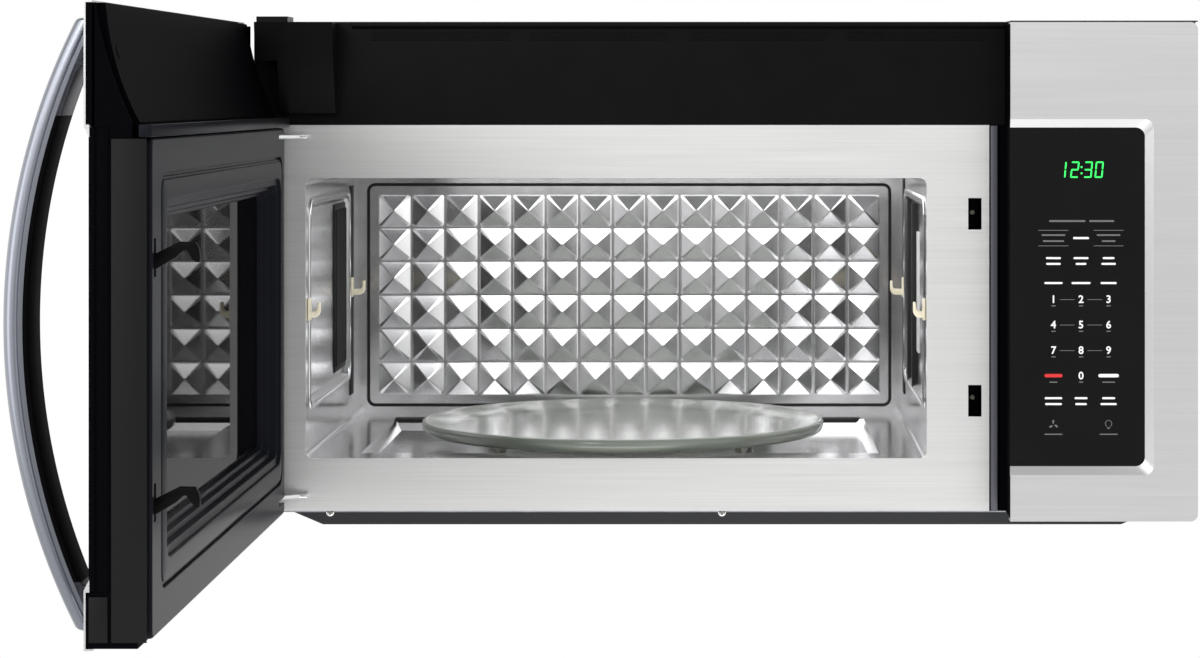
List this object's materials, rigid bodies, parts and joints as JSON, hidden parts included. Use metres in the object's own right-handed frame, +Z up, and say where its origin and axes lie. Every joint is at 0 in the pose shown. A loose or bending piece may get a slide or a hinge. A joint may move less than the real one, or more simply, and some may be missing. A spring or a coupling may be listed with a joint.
{
  "type": "over the range microwave oven",
  "caption": "Over the range convection microwave with side-hinged door, bow handle, embossed steel cavity, glass turntable and control column; hangs from a wall and a cabinet.",
  "frame": {"origin": "middle of the four wall bolts, on the wall face", "axes": "+X to the right seen from the front, +Y into the wall, +Z up"},
  "size_m": [0.8239, 0.989, 0.4115],
  "materials": {
    "case_paint": "satin black powder coat",
    "pan_paint": "satin dark blue-grey powder coat",
    "zinc_sheet": "zinc-coated sheet",
    "stainless_brushed": "fine horizontal brushing",
    "stainless_plate": "brushed front plate",
    "cavity_steel": "bright rolled stainless",
    "handle_metal": "satin bow handle",
    "black_glass": "gloss black backed glass",
    "window_glass": "dark clear window glass",
    "tray_glass": "clear tempered glass",
    "lamp_glass": "frosted lens",
    "black_abs": "fine textured black moulding",
    "gloss_black": "smooth black moulding",
    "choke_grey": "grey moulded inner cover",
    "gasket_black": "black silicone",
    "mica": "mica sheet",
    "clip_ivory": "ivory ceramic-filled moulding",
    "ring_plastic": "off-white PPS",
    "board_green": "solder-masked board",
    "display_dark": "vacuum fluorescent display",
    "screw_steel": "nickel plated",
    "hinge_steel": "bright zinc",
    "coil_iron": "varnished laminations",
    "aluminium_can": "drawn can",
    "filter_mesh": "expanded mesh",
    "fan_plastic": "fan moulding",
    "heater_steel": "oxidised sheath"
  },
  "bodies": {
    "case": {"outer_wrap": "case_paint", "rear_plate": "zinc_sheet", "bottom_pan": "pan_paint", "base_plate": "zinc_sheet", "cavity_front_plate": "stainless_plate", "cavity_shell": "cavity_steel", "cavity_back_panel": "cavity_steel", "back_panel_gasket": "gasket_black", "waveguide_cover": "mica", "side_wall_grille": "gasket_black", "rack_clips": "clip_ivory", "hinge_cover_box": "black_abs", "vent_recess_panel": "gloss_black", "control_fascia": "stainless_brushed", "control_glass": "black_glass", "control_housing": "black_abs", "touch_membrane": "display_dark", "clock_display": "display_dark", "control_board": "board_green", "latch_bracket": "black_abs", "interlock_switches": "gloss_black", "hinge_brackets": "hinge_steel", "turntable_motor": "zinc_sheet", "blower_scrolls": "zinc_sheet", "blower_motor": "aluminium_can", "exhaust_collar": "zinc_sheet", "grease_filters": "filter_mesh", "cooktop_lamps": "lamp_glass", "cord_gland": "black_abs", "convection_housing": "zinc_sheet", "convection_heater": "heater_steel", "convection_motor": "aluminium_can", "waveguide": "zinc_sheet", "magnetron": "aluminium_can", "hv_transformer": "coil_iron", "hv_capacitor": "aluminium_can", "cooling_fan_housing": "fan_plastic", "cavity_lamp": "lamp_glass", "case_screws": "screw_steel"},
    "door": {"door_skin": "stainless_brushed", "door_glass_outer": "black_glass", "door_frame": "black_abs", "choke_cover": "choke_grey", "door_screen": "zinc_sheet", "door_glass_inner": "window_glass", "door_handle": "handle_metal", "handle_screws": "screw_steel"},
    "latch": {"door_latch": "black_abs"},
    "turntable": {"glass_tray": "tray_glass", "turntable_coupler": "ring_plastic"},
    "roller_ring": {"roller_ring": "ring_plastic"},
    "roller_1": {"roller_1": "ring_plastic"},
    "roller_2": {"roller_2": "ring_plastic"},
    "roller_3": {"roller_3": "ring_plastic"},
    "convection_fan": {"convection_fan": "aluminium_can"},
    "vent_blower": {"blower_wheels": "fan_plastic"},
    "cooling_fan": {"cooling_fan_wheel": "fan_plastic"},
    "damper": {"damper_flap": "zinc_sheet"},
    "plunger_upper": {"switch_plunger_upper": "clip_ivory"},
    "plunger_lower": {"switch_plunger_lower": "clip_ivory"}
  },
  "joints": [
    {"name": "door_hinge", "type": "hinge", "parent": "case", "child": "door", "pos_m": [-0.3682, -0.3928, 0], "axis": [0, 0, 1], "range_deg": [-15, 90]},
    {"name": "latch_slide", "type": "slide", "parent": "door", "child": "latch", "axis": [0, 0, 1], "range_m": [-0.0042, 0], "stiffness_N_per_m": 300},
    {"name": "turntable_spin", "type": "hinge", "parent": "case", "child": "turntable", "pos_m": [-0.08585, -0.195, -0.16], "axis": [0, 0, 1], "continuous": true},
    {"name": "roller_ring_spin", "type": "hinge", "parent": "case", "child": "roller_ring", "pos_m": [-0.08585, -0.195, -0.16], "axis": [0, 0, 1], "continuous": true},
    {"name": "roller_1_spin", "type": "hinge", "parent": "roller_ring", "child": "roller_1", "pos_m": [-0.08585, -0.077, -0.16], "axis": [0, 1, 0], "continuous": true},
    {"name": "roller_2_spin", "type": "hinge", "parent": "roller_ring", "child": "roller_2", "pos_m": [-0.18804, -0.254, -0.16], "axis": [-0.866, -0.5, 0], "continuous": true},
    {"name": "roller_3_spin", "type": "hinge", "parent": "roller_ring", "child": "roller_3", "pos_m": [0.01634, -0.254, -0.16], "axis": [0.866, -0.5, 0], "continuous": true},
    {"name": "convection_fan_spin", "type": "hinge", "parent": "case", "child": "convection_fan", "pos_m": [-0.08585, -0.246, 0.08], "axis": [0, 0, 1], "continuous": true},
    {"name": "vent_blower_spin", "type": "hinge", "parent": "case", "child": "vent_blower", "pos_m": [-0.08585, -0.069, 0.1242], "axis": [1, 0, 0], "continuous": true},
    {"name": "cooling_fan_spin", "type": "hinge", "parent": "case", "child": "cooling_fan", "pos_m": [0.304, -0.02, 0.09], "axis": [0, 1, 0], "continuous": true},
    {"name": "damper_swing", "type": "hinge", "parent": "case", "child": "damper", "pos_m": [0, -0.10525, 0.19], "axis": [1, 0, 0], "range_deg": [0, 60]},
    {"name": "plunger_upper_press", "type": "slide", "parent": "case", "child": "plunger_upper", "axis": [0, 1, 0], "range_m": [0, 0.002], "stiffness_N_per_m": 300},
    {"name": "plunger_lower_press", "type": "slide", "parent": "case", "child": "plunger_lower", "axis": [0, 1, 0], "range_m": [0, 0.002], "stiffness_N_per_m": 300}
  ],
  "couplings": [
    {"joint": "roller_ring_spin", "follows": "turntable_spin", "ratio": 0.5},
    {"joint": "roller_1_spin", "follows": "turntable_spin", "ratio": -10.351},
    {"joint": "roller_2_spin", "follows": "turntable_spin", "ratio": -10.351},
    {"joint": "roller_3_spin", "follows": "turntable_spin", "ratio": -10.351}
  ]
}
